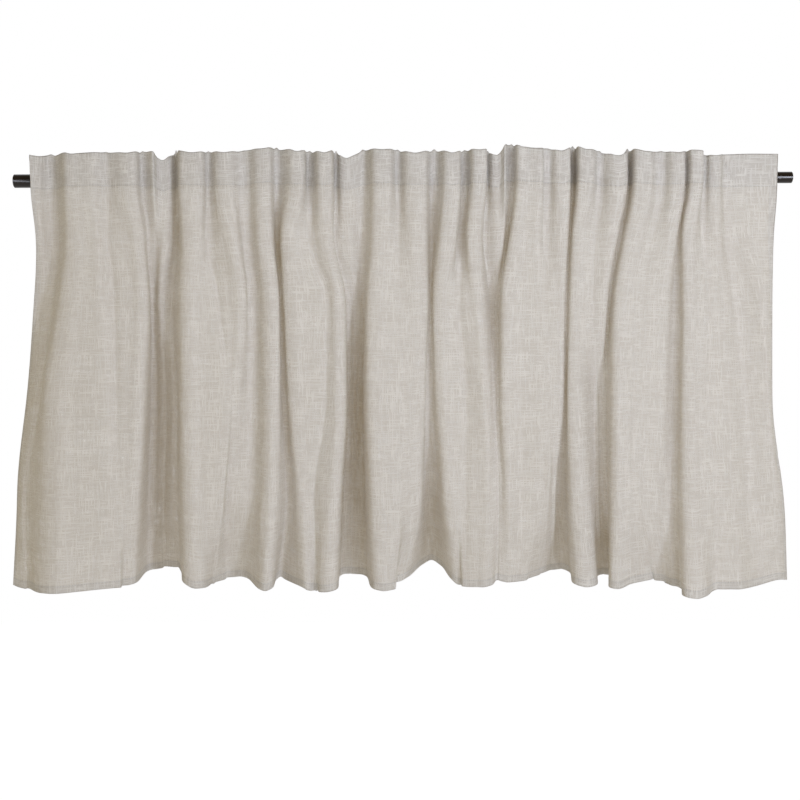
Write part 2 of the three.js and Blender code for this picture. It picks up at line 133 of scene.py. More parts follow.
FOLDS = (
    # left side edge and the first, broad fold
    fold((-514, -509, -525, -545, -558, -552), (-33, -26, 12, 38, 35, 0), (0, 0, 0), -1, 0),
    fold((-504, -501, -516, -535, -549, -543), (-28, -26, 12, 22, 18, -6), (0, 0, 0), -2, -2),
    fold((-490, -488, -500, -518, -536, -530), (-14, -8, 4, 4, 2, -14), (5, 5, 4), 3, -3, LOOP),
    fold((-452, -446, -452, -470, -470, -472), (-53, -54, -55, -60, -64, -66), (9, 18, 26), -3, 0),
    fold((-421, -416, -410, -403, -404, -412), (-52, -54, -56, -61, -60, -50), (0, 0, 0), -1, 3),
    fold((-407, -404, -396, -392, -390, -396), (-38, -44, -46, -54, -56, -42), (4, 9, 6), 1, 3),
    fold((-376, -366, -360, -364, -372, -384), (-53, -54, -54, -58, -52, -22), (11, 11, 8), -2, 3),
    fold((-359, -351, -353, -361, -367, -372), (-28, -26, 8, 45, 56, 72), (3, 4, 6), 4, 8, LOOP),
    # the turned corner of the heading, above the deep valley
    fold((-341, -342, -348, -352, -357, -362), (-46, -28, 0, 33, 45, 66), (0, 0, 0), 0, 10),
    fold((-331, -330, -341, -342, -347, -351), (-30, -34, -8, 22, 34, 56), (8, 4, 0), -9, 15),
    fold((-316, -316, -329, -323, -325, -328), (-14, -10, 0, 2, 8, 44), (2, 3, 4), 8, 16, LOOP),
    # from the second ridge to the first long slit
    fold((-289, -287, -292, -291, -290, -292), (-53, -54, -54, -54, -50, -32), (16, 13, 14), -2, 0),
    fold((-268, -268, -253, -240, -250, -271), (-30, -36, -42, -48, -42, 10), (3, 6, 0), 3, -2),
    fold((-244, -236, -225, -234, -244, -256), (-53, -54, -50, -45, -26, 30), (11, 10, 0), -2, 3),
    fold((-219, -216, -209, -211, -216, -236), (-34, -30, -30, -26, -24, 34), (6, 6, 9), 3, 4, LOOP),
    fold((-191, -190, -181, -180, -183, -190), (-53, -54, -53, -56, -57, -54), (9, 10, 8), 3, 0),
    fold((-174, -175, -168, -166, -160, -176), (-28, -16, -28, -24, -20, 10), (3, 3, 5), 8, 8, LOOP),
    # the wide fold beside it, and the deep valley left of the middle
    fold((-145, -155, -150, -146, -139, -133), (-53, -54, -52, -54, -50, -50), (9, 14, 6), -1, 0),
    fold((-129, -129, -105, -107, -125, -122), (-24, -42, -48, -52, -46, -40), (3, 6, 0), 4, -3, LOOP),
    fold((-107, -107, -91, -91, -100, -105), (-53, -54, -56, -61, -63, -63), (9, 11, 11), -3, 0),
    fold((-93, -94, -77, -79, -83, -88), (-14, -30, -20, 30, 36, 39), (2, 3, 5), 6, 6, LOOP),
    fold((-78, -78, -68, -72, -75, -78), (-29, -36, -12, 36, 44, 42), (10, 4, 0), -7, 6),
    fold((-56, -58, -59, -65, -63, -61), (-26, -22, -8, 26, 30, 38), (4, 4, 5), 5, 5, LOOP),
    # the broad fold at the middle
    fold((-29, -30, -37, -38, -34, -30), (-53, -54, -55, -58, -60, -58), (11, 13, 13), 1, 0),
    fold((-7, -7, -5, -3, -5, -14), (-30, -42, -50, -54, -55, -46), (3, 0, 0), 4, 0, LOOP),
    fold((17, 16, 18, 16, 11, -6), (-53, -54, -50, -50, -46, -12), (13, 14, 10), -4, 5),
    fold((43, 40, 38, 34, 37, 40), (-26, -14, -30, -28, 10, 84), (4, 2, 12), 5, 18, LOOP),
    fold((67, 62, 51, 55, 63, 73), (-53, -54, -50, -50, -46, -12), (10, 13, 8), -4, 0),
    fold((85, 79, 76, 85, 83, 86), (-24, -24, -42, -40, -42, -26), (4, 8, 9), 4, -1),
    fold((104, 96, 99, 109, 113, 109), (-53, -54, -50, -52, -50, -34), (9, 10, 14), 0, 0),
    fold((118, 112, 122, 124, 127, 127), (-18, -30, -16, -38, -42, -16), (2, 2, 2), 4, 6, LOOP),
    fold((129, 130, 127, 126, 129, 129), (-34, -44, -14, -36, -41, -14), (8, 0, 0), -5, 6),
    fold((139, 138, 129, 127, 130, 130), (-46, -42, -16, -37, -41, -15), (0, 0, 0), 7, 6),
    fold((150, 144, 131, 128, 131, 131), (-24, -24, -20, -38, -42, -16), (3, 2, 2), 12, 6, LOOP),
    # the broad fold right of the middle
    fold((163, 155, 142, 139, 142, 143), (-52, -54, -54, -54, -50, -16), (7, 9, 9), 4, 3),
    fold((173, 167, 160, 160, 161, 159), (-50, -52, -50, -50, -44, -14), (0, 0, 0), 3, 4),
    fold((183, 179, 180, 185, 183, 170), (-52, -54, -51, -52, -44, -10), (8, 9, 0), 2, 5),
    fold((198, 195, 196, 199, 196, 194), (-38, -42, -50, -51, -44, 20), (5, 4, 0), 3, 9),
    fold((217, 216, 214, 213, 206, 212), (-53, -54, -52, -50, -32, 46), (10, 7, 0), -2, 9),
    fold((236, 228, 223, 220, 218, 229), (-14, -30, -38, -34, -6, 54), (3, 2, 9), 11, 9, LOOP),
    fold((249, 240, 234, 233, 239, 249), (-53, -54, -53, -55, -52, -38), (9, 8, 15), 0, 0),
    # the fold that ends a third of the way down, and the deep valley under it
    fold((271, 263, 258, 268, 270, 281), (-32, -44, -48, -18, -12, 34), (3, 4, 4), 0, 4),
    fold((294, 283, 271, 273, 275, 287), (-53, -54, -52, -14, -8, 38), (12, 7, 0), -9, 4),
    fold((312, 299, 284, 279, 280, 293), (-14, -30, -28, -18, -12, 38), (3, 2, 3), 7, 3, LOOP),
    fold((329, 314, 297, 292, 291, 290), (-53, -54, -55, -57, -57, -52), (12, 9, 10), -3, 0),
    fold((338, 325, 313, 307, 306, 308), (-53, -54, -51, -54, -54, -40), (0, 0, 0), -4, 4),
    fold((354, 341, 326, 321, 321, 348), (-36, -44, -50, -53, -52, -8), (5, 6, 0), -1, 6),
    fold((375, 364, 351, 349, 350, 364), (-53, -54, -52, -52, -44, -10), (9, 11, 0), -5, 0),
    fold((388, 378, 377, 373, 370, 375), (-30, -34, -28, -30, -34, -30), (2, 4, 5), 0, -1),
    fold((401, 389, 391, 389, 389, 388), (-53, -54, -52, -60, -68, -86), (8, 9, 15), -2, -7),
    # the right end, nearly flat against the rod
    fold((416, 413, 417, 414, 425, 425), (-24, -36, -44, -50, -52, -52), (3, 6, 8), -4, -1, LOOP),
    fold((430, 427, 436, 441, 446, 452), (-36, -42, -46, -52, -56, -58), (7, 8, 10), -7, 0),
    fold((446, 447, 459, 469, 478, 488), (-20, -26, -32, -36, -38, -30), (0, 0, 0), -3, 0, LOOP),
    fold((480, 482, 494, 498, 508, 518), (-20, -30, -42, -44, -44, -22), (0, 0, 0), -2, 6, LOOP),
    fold((521, 513, 508, 506, 522, 534), (-18, -26, -34, -38, -34, -12), (0, 0, 0), -2, 4),
)

# A soft crease across the cloth. It runs beside the fold whose x at the heading is "fold", from one
# place to another on the flat cloth: how far to the right of that fold, and how high above the hem.
# It has that width, and stands out to the front by that height.
Crease = namedtuple("Crease", "fold start end width height")

CREASES = (
    Crease(-490, (6, 56), (26, 6), 6, -3),  # at the foot of the left side
    Crease(-191, (-15, 130), (-13, 45), 5, 2.4),
    Crease(-29, (15, 325), (17, 55), 5, 2),
    # beside the first slit right of the middle, and on the fold after it
    Crease(173, (0, 230), (-2, 45), 8, -3.5),
    Crease(198, (0, 185), (0, 130), 7, 3),
    # along the narrow fold right of the deep valley
    Crease(329, (-3, 325), (-1, 45), 5, 2.4),
    Crease(338, (0, 395), (-1, 70), 3.5, 2),
    # at the right end, the last four near its edge
    Crease(416, (-4, 505), (29, 507), 4, 2.4),
    Crease(480, (-16, 530), (0, 300), 4, 2.2),
    Crease(521, (-8, 160), (-3, 182), 4, -2.4),
    Crease(480, (-5, 92), (14, 108), 4.5, -3),
    Crease(480, (-12, 14), (4, 50), 5, -3),
)


# --- The cloth's surface ---------------------------------------------------------------------------


def half_width(row, level):
    """The half width of a fold's turn at a height, between the three that the table gives."""
    heading, upper, hem = row.half
    below = max(level - UPPER_LEVEL, 0) / (len(HEIGHTS) - 1 - UPPER_LEVEL)
    above = max(UPPER_LEVEL - level, 0) / UPPER_LEVEL
    return max(upper + (heading - upper) * above + (hem - upper) * below, LEAST_TURN)


def shoulder(place, neighbour, half, side, rise_share):
    """Where a fold's turn ends on the side of its neighbour."""
    along = abs(neighbour[0] - place[0])
    across = neighbour[1] - place[1]
    lean = max(abs(across) - SHALLOW, 0)
    reach = min(half, SHOULDER_LIMIT * (along + lean))
    rise = min(rise_share * reach, SHOULDER_LIMIT * abs(across))
    return np.array((place[0] + side * reach, place[1] + math.copysign(rise, across)))


def turns(level, shift, forward=0):
    """The turning points of a cross-section, and which of them are the folds' own places."""
    depths = [y - forward if y > RECESSED else y for y in (row.y[level] for row in FOLDS)]
    places = [np.array((row.x[level], y), float) for row, y in zip(FOLDS, depths)]
    points, centres = [], []
    for i, row in enumerate(FOLDS):
        for side in (-1, 0, 1) if any(row.half) else (0,):
            other = i + side
            at = places[i]
            if side:
                half = half_width(row, level)
                at = shoulder(at, places[other], half, side, SHOULDER_RISE[level])
            else:
                centres.append(len(points))
            lift = (1 - SHOULDER_SHIFT) * shift(row) + SHOULDER_SHIFT * shift(FOLDS[other])
            points.append((*at, HEIGHTS[level] + lift))
    return np.array(points), centres


def curve_through(points, steps):
    """A centripetal Catmull-Rom curve through points, with that many steps between two of them."""
    ends = 2 * points[[0, -1]] - points[[1, -2]]
    knots = np.vstack([ends[:1], points, ends[1:]])
    gaps = np.maximum(np.linalg.norm(np.diff(knots, axis=0), axis=1), 1e-6)[:, None] ** 0.5
    slopes = np.diff(knots, axis=0) / gaps
    chords = (knots[2:] - knots[:-2]) / (gaps[1:] + gaps[:-1])
    tangents = slopes[:-1] - chords + slopes[1:]
    t = np.linspace(0, 1, steps, endpoint=False)[None, :, None]
    start, end = points[:-1, None], points[1:, None]
    leave = (tangents[:-1] * gaps[1:-1])[:, None]
    arrive = (tangents[1:] * gaps[1:-1])[:, None]
    inner = (
        (2 * t**3 - 3 * t**2 + 1) * start
        + (t**3 - 2 * t**2 + t) * leave
        + (3 * t**2 - 2 * t**3) * end
        + (t**3 - t**2) * arrive
    )
    return np.vstack([inner.reshape(-1, points.shape[1]), points[-1:]])


def lengths_along(line):
    return np.concatenate([[0], np.cumsum(np.linalg.norm(np.diff(line, axis=0), axis=1))])


def resampled(line, shares):
    """The points of a line at those shares of its length."""
    along = lengths_along(line)
    return np.stack([np.interp(shares * along[-1], along, line[:, k]) for k in range(3)], axis=1)


def cross_sections():
    """The cloth's cross-sections from its upper edge down to its hem, each with the same threads,
    and where the threads are on the flat cloth."""
    levels = [(0, lambda row: TOP_HEIGHT - HEIGHTS[0] + row.top, EDGE_FORWARD)]
    for i in range(len(HEIGHTS)):
        levels.append((i, lambda row, i=i: TOP_SHARE[i] * row.top + HEM_SHARE[i] * row.hem, 0))
    pieces = []
    for level in levels:
        points, centres = turns(*level)
        line = curve_through(points, CURVE_STEPS)
        at = [CURVE_STEPS * centre for centre in centres]
        pieces.append([line[a : b + 1] for a, b in zip(at, at[1:])])
    widths = np.array([[lengths_along(line)[-1] for line in level] for level in pieces])
    widths = widths[1:].mean(axis=0)
    sections = [[] for _ in pieces]
    threads, middles = [], [0]
    edge = 0
    for i, width in enumerate(widths):
        count = max(round(width / COLUMN_STEP), LEAST_COLUMNS)
        even = np.arange(count) / count
        shares = even - COLUMN_CROWDING * np.sin(2 * np.pi * even) / (2 * np.pi)
        for section, level in zip(sections, pieces):
            section.append(resampled(level[i], shares))
        threads.append(edge + width * shares)
        edge += width
        middles.append(edge)
    for section, level in zip(sections, pieces):
        section.append(level[-1][-1:])
    threads.append([edge])
    return np.array([np.vstack(section) for section in sections]), np.concatenate(threads), middles


def blended(values, knots, places):
    """Monotone cubic interpolation of values[k] given at falling knots, at places between them."""
    knots, places = -np.asarray(knots, float), -np.asarray(places, float)
    gaps = np.diff(knots)[:, None, None]
    slopes = np.diff(values, axis=0) / gaps
    before, after = slopes[:-1], slopes[1:]
    same = before * after > 0
    weight_before = 2 * gaps[1:] + gaps[:-1]
    weight_after = gaps[1:] + 2 * gaps[:-1]
    total = np.where(same, weight_before * after + weight_after * before, 1)
    mean = 3 * (gaps[:-1] + gaps[1:]) * before * after / total
    tangents = np.concatenate([slopes[:1], np.where(same, mean, 0), slopes[-1:]])
    span = np.clip(np.searchsorted(knots, places, side="right") - 1, 0, len(knots) - 2)
    step = np.diff(knots)[span][:, None, None]
    t = ((places - knots[span])[:, None, None]) / step
    return (
        (2 * t**3 - 3 * t**2 + 1) * values[span]
        + (t**3 - 2 * t**2 + t) * step * tangents[span]
        + (3 * t**2 - 2 * t**3) * values[span + 1]
        + (t**3 - t**2) * step * tangents[span + 1]
    )


def eased(values, step, reach):
    """Values on evenly spaced rows with their bends spread along the threads, ends kept in line."""
    count = round(2 * reach / step)
    weights = np.exp(-0.5 * (np.arange(-count, count + 1) * step / reach) ** 2)
    weights /= weights.sum()
    padded = np.pad(values, ((count, count), (0, 0), (0, 0)), "reflect", reflect_type="odd")
    return sum(w * padded[i : i + len(values)] for i, w in enumerate(weights))


def facing_back(points):
    """Unit normals that point out of the cloth's back."""
    normals = np.cross(np.gradient(points, axis=1), np.gradient(points, axis=0))
    return normals / np.maximum(np.linalg.norm(normals, axis=2, keepdims=True), 1e-9)


class Cloth:
    """The cloth's middle surface, found by thread (from the left side edge) and height."""

    def __init__(self):
        sections, self.threads, self.middles = cross_sections()
        self.width = self.threads[-1]
        self.heights = np.arange(TOP_HEIGHT, HEIGHTS[-1] - 1, -FINE_STEP, dtype=float)
        points = blended(sections, (TOP_HEIGHT, *HEIGHTS), self.heights)
        self.points = eased(points, FINE_STEP, EASE_DOWN)
        for crease in CREASES:
            self.points += self.relief(crease)
        self.normals = facing_back(self.points)

    def relief(self, crease):
        """How far a crease moves each point of the cloth."""
        fold_number = [row.x[0] for row in FOLDS].index(crease.fold)
        beside = (round(self.middles[fold_number]), 0)
        start, end = np.array((crease.start, crease.end), float) + beside
        flat = np.stack(np.meshgrid(self.threads, self.heights - HEIGHTS[-1]), axis=2) - start
        way = end - start
        share = np.clip((flat @ way) / (way @ way), 0, 1)
        off = np.linalg.norm(flat - share[..., None] * way, axis=2) / crease.width
        rise = -crease.height * np.exp(-(off**2)) * np.sin(np.pi * share) ** 0.5
        return facing_back(self.points) * rise[..., None]

    def at(self, threads, heights, behind=0.0):
        """Points at threads and heights, some way behind the middle surface, and the way back."""
        threads, heights, behind = np.broadcast_arrays(threads, heights, behind)
        columns = np.interp(threads, self.threads, np.arange(len(self.threads)))
        rows = np.interp(-heights, -self.heights, np.arange(len(self.heights)))
        left = np.minimum(columns.astype(int), len(self.threads) - 2)
        upper = np.minimum(rows.astype(int), len(self.heights) - 2)
        across, down = (columns - left)[..., None], (rows - upper)[..., None]
        found = []
        for field in (self.points, self.normals):
            above = field[upper, left] * (1 - across) + field[upper, left + 1] * across
            below = field[upper + 1, left] * (1 - across) + field[upper + 1, left + 1] * across
            found.append(above * (1 - down) + below * down)
        return found[0] + found[1] * behind[..., None], found[1]


# --- Meshes ----------------------------------------------------------------------------------------


def grid_faces(rows, columns):
    corner = np.arange((rows - 1) * columns).reshape(rows - 1, columns)[:, :-1]
    faces = np.stack([corner, corner + columns, corner + columns + 1, corner + 1], axis=-1)
    return faces.reshape(-1, 4).tolist()


def make_object(name, points, faces, uvs=None):
    """A smooth mesh object in metres from points, and places on the flat cloth, in millimetres."""
    mesh = bpy.data.meshes.new(name)
    mesh.from_pydata((np.asarray(points).reshape(-1, 3) * MM).tolist(), [], faces)
    if uvs is not None:
        layer = mesh.uv_layers.new(name="flat")
        corners = np.zeros(len(mesh.loops), np.int32)
        mesh.loops.foreach_get("vertex_index", corners)
        flat = (np.asarray(uvs).reshape(-1, 2) * MM).astype(np.float32)
        layer.data.foreach_set("uv", flat[corners].ravel())
    mesh.polygons.foreach_set("use_smooth", np.full(len(mesh.polygons), True))
    mesh.update()
    made = bpy.data.objects.new(name, mesh)
    bpy.context.scene.collection.objects.link(made)
    return made


def spaced(start, end, step):
    """Places from start to end, both counted, at most a step apart."""
    return np.linspace(start, end, max(math.ceil(abs(end - start) / step), 1) + 1)


def cloth_rows():
    """The rows of the cloth's mesh: height, layers behind the front, and place on the flat cloth."""
    foot = HEIGHTS[-1]
    hem_line = foot + HEM_DEPTH
    turned = TOP_HEIGHT - TURNING_DEPTH * np.array((1, 0.6, 0.25))
    top = TOP_HEIGHT - TURNING_DEPTH * np.array((0, 0.25, 0.6))
    heading = spaced(TOP_HEIGHT - TURNING_DEPTH, HEIGHTS[0], ROW_STEP)
    hanging = spaced(HEIGHTS[0], hem_line, ROW_STEP)[1:]
    hem = foot + HEM_DEPTH * np.array((0.7, 0.4, 0.12, 0))
    back = foot + HEM_DEPTH * np.array((0.12, 0.4, 0.7, 0.96))
    front = np.concatenate([top, heading, hanging, hem])
    heights = np.concatenate([turned, front, back])
    layers = np.repeat((1, 0, 1), (len(turned), len(front), len(back)))
    flat = np.concatenate([2 * TOP_HEIGHT - turned, front, 2 * foot - back]) - foot
    return heights, layers, flat


def cloth_columns(cloth):
    """The columns of the cloth's mesh: thread, layers behind, and place on the flat cloth."""
    edge = SIDE_HEM_DEPTH * np.array((0, 0.2, 0.5, 1))
    within = np.minimum(cloth.threads, cloth.width - cloth.threads) > SIDE_HEM_DEPTH + 1
    front = np.concatenate([edge, cloth.threads[within], cloth.width - edge[::-1]])
    left, right = edge[:0:-1], cloth.width - edge[1:]
    threads = np.concatenate([left, front, right])
    layers = np.repeat((1, 0, 1), (len(left), len(front), len(right)))
    flat = np.concatenate([-left, front, 2 * cloth.width - right])
    return threads, layers, flat


def make_cloth(cloth):
    """The sheet with its upper edge, side hems and bottom hem turned behind it."""
    heights, row_layers, v = cloth_rows()
    threads, column_layers, u = cloth_columns(cloth)
    # Near the sides, what is turned up or down lies behind the side hems.
    from_side = np.minimum(threads, cloth.width - threads)
    corner = np.clip(1.5 - from_side / SIDE_HEM_DEPTH, 0, 1)
    in_hem = np.where(column_layers > 0, 2, 1 + 2 * corner)
    layers = np.where(row_layers[:, None] > 0, in_hem, column_layers)
    points, _ = cloth.at(threads[None, :], heights[:, None], LAYER * layers)
    uvs = np.stack(np.meshgrid(u, v), axis=2)
    return make_object("valance_cloth", points, grid_faces(*points.shape[:2]), uvs)


def make_tape(cloth):
    """The second layer behind the heading."""
    threads = cloth.threads[np.minimum(cloth.threads, cloth.width - cloth.threads) > TAPE_INSET]
    threads = np.concatenate([[TAPE_INSET], threads, [cloth.width - TAPE_INSET]])
    heights = spaced(TAPE_TOP, TAPE_FOOT, ROW_STEP)
    points, _ = cloth.at(threads[None, :], heights[:, None], TAPE_BEHIND)
    uvs = np.stack(np.meshgrid(threads, heights - HEIGHTS[-1]), axis=2)
    return make_object("heading_tape_cloth", points, grid_faces(*points.shape[:2]), uvs)


# --- Stitches --------------------------------------------------------------------------------------


def stitches_along(line, lift):
    """The corners of short, flattened stitches along a line that lie on the side of lift."""
    along = lengths_along(line)
    begin = np.arange(STITCH_PITCH / 2, along[-1] - STITCH_LENGTH, STITCH_PITCH)
    shares = np.array([share for share, _, _ in STITCH_PROFILE])
    thick = np.array([thickness for _, thickness, _ in STITCH_PROFILE])
    sunk = np.array([depth for _, _, depth in STITCH_PROFILE])
    places = begin[:, None] + STITCH_LENGTH * shares
    spots = np.stack([np.interp(places, along, line[:, k]) for k in range(3)], axis=2)
    lifts = np.stack([np.interp(places, along, lift[:, k]) for k in range(3)], axis=2)
    way = spots[:, -1:] - spots[:, :1]
    side = np.cross(way / np.linalg.norm(way, axis=2, keepdims=True), lifts)
    angles = np.arange(STITCH_SIDES) * 2 * math.pi / STITCH_SIDES
    radius = STITCH_RADIUS * thick[None, :, None, None]
    ring = np.cos(angles)[:, None] * lifts[:, :, None] + STITCH_FLATNESS * (
        np.sin(angles)[:, None] * side[:, :, None]
    )
    return (spots - lifts * sunk[:, None])[:, :, None] + radius * ring


def make_stitches(name, lines):
    """Rows of stitches, each line given as its points and the way out of the cloth there."""
    corners = np.concatenate([stitches_along(line, lift) for line, lift in lines])
    count, rings, sides = corners.shape[:3]
    corner = np.arange(sides)
    after = (corner + 1) % sides
    faces = []
    for base in range(0, count * rings * sides, rings * sides):
        for k in range(rings - 1):
            a, b = base + k * sides + corner, base + k * sides + after
            faces += np.stack([a, b, b + sides, a + sides], axis=1).tolist()
        faces.append((base + corner[::-1]).tolist())
        faces.append((base + (rings - 1) * sides + corner).tolist())
    return make_object(name, corners, faces)


def seam_lines(cloth):
    """The stitch lines of the heading and of the three hems, on both sides of the cloth."""
    threads = cloth.threads
    side = np.arange(HEIGHTS[-1] + HEM_DEPTH, TOP_HEIGHT, SIDE_SEAM_STEP, dtype=float)
    inset = SIDE_HEM_DEPTH - HEM_STITCH_INSET
    hem_height = HEIGHTS[-1] + HEM_DEPTH - HEM_STITCH_INSET
    routes = [
        (threads, np.full(len(threads), SEAM_HEIGHT), TAPE_BEHIND),
        (threads, np.full(len(threads), hem_height), LAYER),
        (np.full(len(side), inset), side, LAYER),
        (np.full(len(side), cloth.width - inset), side, LAYER),
    ]
    lines = []
    for where, heights, back in routes:
        front_points, way = cloth.at(where, heights)
        back_points, _ = cloth.at(where, heights, back)
        lines += [(front_points, -way), (back_points, way)]
    return lines


# --- Loops -----------------------------------------------------------------------------------------


def loop_route(cloth, thread, rod_radius):
    """A loop's middle line across the rod, as depth and height: down the tape, round the rod."""
    heights = np.array((LOOP_TOP, LOOP_TOP_KNEE, LOOP_FOOT_KNEE, LOOP_FOOT))
    behind = TAPE_BEHIND + LOOP_GAP + LOOP_THICKNESS / 2
    flat = np.stack([cloth.at(thread, heights, behind)[0][:, 1], heights], axis=1)
    radius = rod_radius + LOOP_SLACK + LOOP_THICKNESS / 2
    turn = np.radians(LOOP_ARC * (np.linspace(0, 1, LOOP_RING_STEPS) - 0.5))
    ring = np.stack([radius * np.cos(turn), -radius * np.sin(turn)], axis=1)
    return curve_through(np.vstack([flat[:2], ring, flat[2:]]), LOOP_CURVE_STEPS)


def make_loop(name, x, route):
    """A flat band with thinner edges, closed at its two ends."""
    along = np.gradient(route, axis=0)
    along /= np.linalg.norm(along, axis=1, keepdims=True)
    away = np.stack([-along[:, 1], along[:, 0]], axis=1)
    half, inner = LOOP_WIDTH / 2, LOOP_WIDTH / 2 - LOOP_CORNER
    section = np.array(
        [(-half, -LOOP_EDGE), (-half, LOOP_EDGE), (-inner, 1), (inner, 1),
         (half, LOOP_EDGE), (half, -LOOP_EDGE), (inner, -1), (-inner, -1)]
    )
    across, out = section[:, 0], section[:, 1] * LOOP_THICKNESS / 2
    points = np.zeros((len(route), len(section), 3))
    points[:, :, 0] = x + across
    points[:, :, 1:] = route[:, None] + out[None, :, None] * away[:, None]
    sides = len(section)
    corner = np.arange(sides)
    faces = []
    for r in range(len(route) - 1):
        a, b = r * sides + corner, r * sides + (corner + 1) % sides
        faces += np.stack([a, b, b + sides, a + sides], axis=1).tolist()
    faces.append(corner[::-1].tolist())
    faces.append((corner + (len(route) - 1) * sides).tolist())
    distance = lengths_along(route)
    uvs = np.stack(np.meshgrid(across + LOOP_WIDTH, distance), axis=2)
    return make_object(name, points, faces, uvs)


def make_loops(cloth):
    """One loop behind each recessed fold, in its CAD node's place."""
    made = []
    nodes = sorted(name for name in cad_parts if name.startswith("loop_"))
    recesses = [(row, thread) for row, thread in zip(FOLDS, cloth.middles) if row.loop]
    for node, (row, thread) in zip(nodes, recesses):
        tube = "rod_outer_tube" if row.x[0] < OUTER_TUBE_END else "rod_inner_tube"
        route = loop_route(cloth, thread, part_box(tube)[1].y / MM)
        loop = make_loop(node + "_band", row.x[0], route)
        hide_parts(node)
        made.append(loop)
    return made


# --- Rod -------------------------------------------------------------------------------------------


def make_tube(name, node, bore=0):
    """A round tube along X in its CAD node's place, closed at the end away from the bore."""
    low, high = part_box(node)
    start, end, radius = low.x / MM, high.x / MM, (high.y - low.y) / 2 / MM
    profile = [(start, 0), (start, radius - TUBE_EDGE)]
    profile += [(start + TUBE_EDGE, radius), (end - TUBE_EDGE, radius)]
    profile += [(end, radius - TUBE_EDGE)]
    if bore:
        inside = radius - TUBE_WALL
        profile += [(end, inside), (end - bore, inside), (end - bore, 0)]
    else:
        profile += [(end, 0)]
    angles = np.arange(TUBE_SIDES) * 2 * math.pi / TUBE_SIDES
    points = [(profile[0][0], 0, 0)]
    for x, r in profile[1:-1]:
        points += [(x, r * math.cos(angle), r * math.sin(angle)) for angle in angles]
    points.append((profile[-1][0], 0, 0))
    last = len(points) - 1
    corner = np.arange(TUBE_SIDES)
    after = (corner + 1) % TUBE_SIDES
    faces = [(0, 1 + b, 1 + a) for a, b in zip(corner.tolist(), after.tolist())]
    for k in range(len(profile) - 3):
        a, b = 1 + k * TUBE_SIDES + corner, 1 + k * TUBE_SIDES + after
        faces += np.stack([a, b, b + TUBE_SIDES, a + TUBE_SIDES], axis=1).tolist()
    rim = last - TUBE_SIDES
    faces += [(last, rim + a, rim + b) for a, b in zip(corner.tolist(), after.tolist())]
    made = make_object(name, points, faces)
    made.data.set_sharp_from_angle(angle=TUBE_SHARP)
    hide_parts(node)
    return made


# --- Materials -------------------------------------------------------------------------------------

LINEN = (0.735, 0.725, 0.71)
LINEN_SLUB = (0.88, 0.87, 0.85)
TAPE_LINEN = (0.72, 0.705, 0.69)
SHINE_THROUGH = (0.76, 0.56, 0.27)  # the light that comes through the cloth
BRONZE = (0.012, 0.006, 0.003)

# The weave. What a yarn does along its length comes from smooth noise, and a range says between which
# values of the noise it sets in. "Per metre" is how fast the noise changes.
WARP_SEED = 3.1
WEFT_SEED = 41.7
YARN_PITCH = 0.0008
YARN_EDGE = 0.06  # how softly a yarn ends, as a share of the pitch
SWAY = 1.5  # how far the yarns wander from their places, in pitches
SWAY_PER_METRE = (60, 12)  # across the yarns and along them
SLUBS_PER_METRE = 46
SLUB_STEP = 13.7  # from one yarn's slubs to the next one's, which have nothing in common
SLUB_RANGE = (0.56, 0.66)
SLUB_SWELL = 0.25  # how much wider a yarn is at a slub, as a share of the pitch
GAPS_PER_METRE = 18
GAP_STEP = 0.83  # the same for the gaps, which are partly alike
GAP_RANGE = (0.58, 0.68)
PATCHES_PER_METRE = (75, 40)  # of the slubs' paleness, across the cloth and up it
PATCH_RANGE = (0.38, 0.6)
PATCH_LEAST = 0.6
BUMP_STRENGTH = 0.3
BUMP_DISTANCE = 0.0002
SLUB_PALER = 0.4  # how much of a slub's own colour the light through it has

# Where the cloth is stitched and lies double, and the painted shade at its stitch lines and rolled
# upper edge, in millimetres and as shares.
DOUBLED_LOSS = 0.25  # how much of the light through it is lost where the cloth lies double
PINCH_REACH = 0.9  # how far from its middle a row of stitches gets painted shade for the pinch
PINCH_PAINTED_SHADE = 0.3  # how much darker that painted shade makes the cloth there, between two stitches
STITCH_PAINTED_SHADE = PINCH_PAINTED_SHADE / 3  # and the painted shade beside a stitch
RIM_REACH = 1.3  # how far down from the upper edge its roll gets painted shade
# how much darker the painted shade of the roll makes that rim
RIM_PAINTED_SHADE = 0.3
PAINTED_SHADE_KEEP = 0.4  # the share of its colour that the cloth keeps under the fullest painted shade

# How the plain surfaces vary from place to place.
CLOUD_SCALE = 60.0
CLOUD_DETAIL = 3.0
CLOUD_RANGE = (0.3, 0.7)
CLOUD_LEAST = 0.85

FlatSize = namedtuple("FlatSize", "width top heading")  # in metres, the heights from the hem's foot


